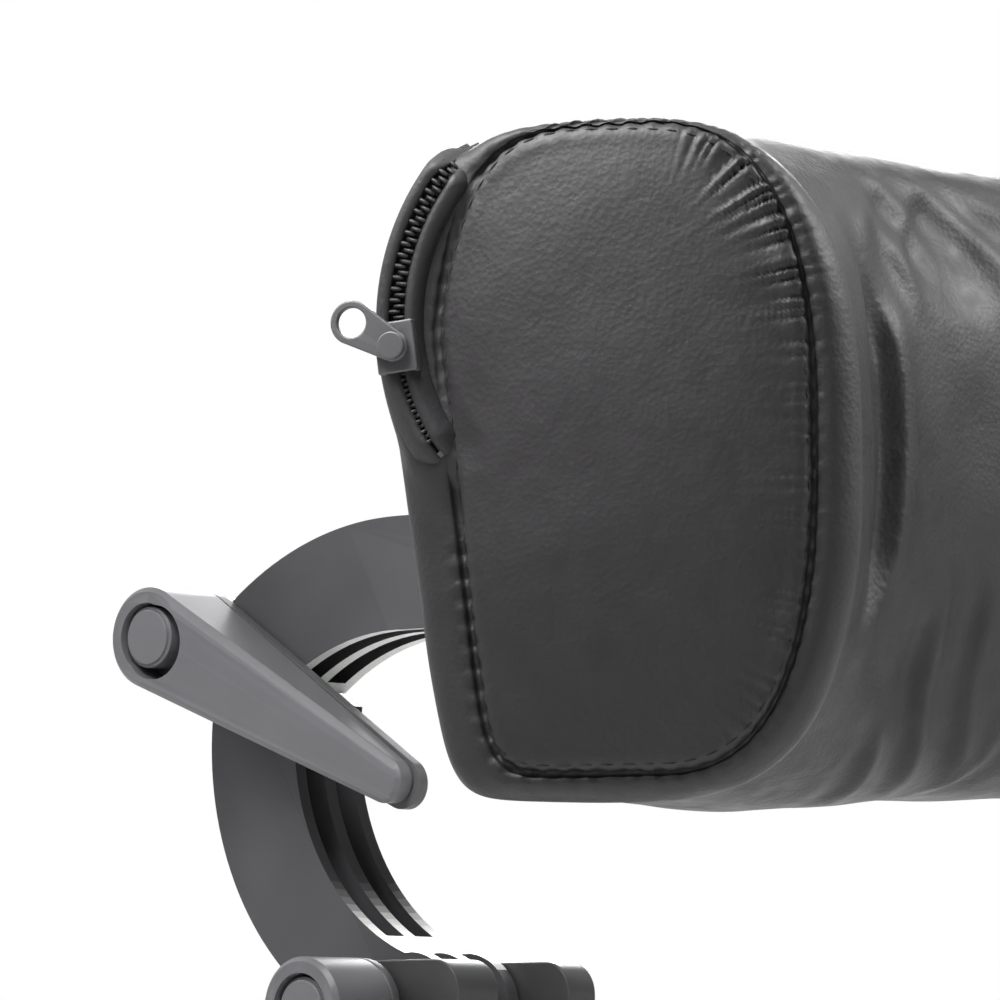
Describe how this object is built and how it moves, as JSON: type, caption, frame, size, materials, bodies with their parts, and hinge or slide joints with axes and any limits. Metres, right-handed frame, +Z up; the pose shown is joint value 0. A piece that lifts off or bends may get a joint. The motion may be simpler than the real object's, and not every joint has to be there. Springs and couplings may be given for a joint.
{
  "type": "chair headrest attachment",
  "caption": "Winged padded headrest on a double-jointed C-shaped arm with clamp levers and a bolt-on mounting plate for an office chair.",
  "frame": {"origin": "centre of the mounting plate's four-hole pattern, on the plate's front mating face", "axes": "+Z up, -Y forward towards the sitter, +X to the side away from the clamp levers"},
  "size_m": [0.279, 0.2614, 0.2499],
  "materials": {
    "arm_coat": "satin",
    "bracket_coat": "satin",
    "lever_plastic": "satin",
    "lever_back_plastic": "matte",
    "cap_plastic": "satin",
    "steel": "zinc plated",
    "nylon": "matte",
    "bush_polymer": "matte",
    "board": "raw plywood",
    "foam": "soft",
    "leather": "soft grain",
    "tape": "woven",
    "teeth": "moulded coil",
    "zip_metal": "black enamel"
  },
  "bodies": {
    "base": {"base_bracket": "bracket_coat", "lower_pivot_bolt": "steel", "lower_thrust_washer": "steel", "lower_friction_washers": "nylon"},
    "lower_lever": {"lower_lever": "lever_plastic", "lower_lever_back": "lever_back_plastic", "lower_lever_cap": "cap_plastic"},
    "lower_arm": {"lower_arm": "arm_coat", "lower_bush": "bush_polymer", "mid_pivot_bolt": "steel", "mid_thrust_washer": "steel", "mid_friction_washers": "nylon"},
    "upper_lever": {"upper_lever": "lever_plastic", "upper_lever_back": "lever_back_plastic", "upper_lever_cap": "cap_plastic"},
    "upper_arm": {"upper_arm": "arm_coat", "mid_bush": "bush_polymer", "tilt_bush": "bush_polymer"},
    "headrest": {"tilt_friction_washers": "nylon", "tilt_bracket": "bracket_coat", "tilt_bolt": "steel", "tilt_nut": "steel", "bracket_screws": "steel", "tee_nuts": "steel", "backing_board": "board", "foam_core": "foam", "cover_front": "leather", "cover_back": "leather", "cover_end_left": "leather", "cover_end_right": "leather", "zipper_tape": "tape", "zipper_teeth": "teeth", "zipper_stops": "zip_metal"},
    "zip_slider": {"zipper_slider": "zip_metal"},
    "zip_pull": {"zipper_pull": "zip_metal"}
  },
  "joints": [
    {"name": "lower_lever_swing", "type": "hinge", "parent": "base", "child": "lower_lever", "pos_m": [-0.03, 0.026, 0.038], "axis": [1, 0, 0], "range_deg": [0, 80]},
    {"name": "base_tilt", "type": "hinge", "parent": "base", "child": "lower_arm", "pos_m": [0, 0.026, 0.038], "axis": [-1, 0, 0], "range_deg": [-15, 30]},
    {"name": "upper_lever_swing", "type": "hinge", "parent": "lower_arm", "child": "upper_lever", "pos_m": [-0.02, 0.086, 0.12], "axis": [1, 0, 0], "range_deg": [0, 75]},
    {"name": "mid_hinge", "type": "hinge", "parent": "lower_arm", "child": "upper_arm", "pos_m": [0, 0.086, 0.12], "axis": [-1, 0, 0], "range_deg": [0, 60]},
    {"name": "head_tilt", "type": "hinge", "parent": "upper_arm", "child": "headrest", "pos_m": [0, -0.028, 0.13245], "axis": [-1, 0, 0], "range_deg": [-25, 25]},
    {"name": "zip_travel", "type": "hinge", "parent": "headrest", "child": "zip_slider", "pos_m": [-0.10906, -0.12358, 0.168], "axis": [-0.9107, -0.4131, 0], "range_deg": [-42, 20]},
    {"name": "zip_pull_hinge", "type": "hinge", "parent": "zip_slider", "child": "zip_pull", "pos_m": [-0.13999, -0.08856, 0.16252], "axis": [-0.9107, -0.4131, 0], "range_deg": [-60, 120]}
  ]
}
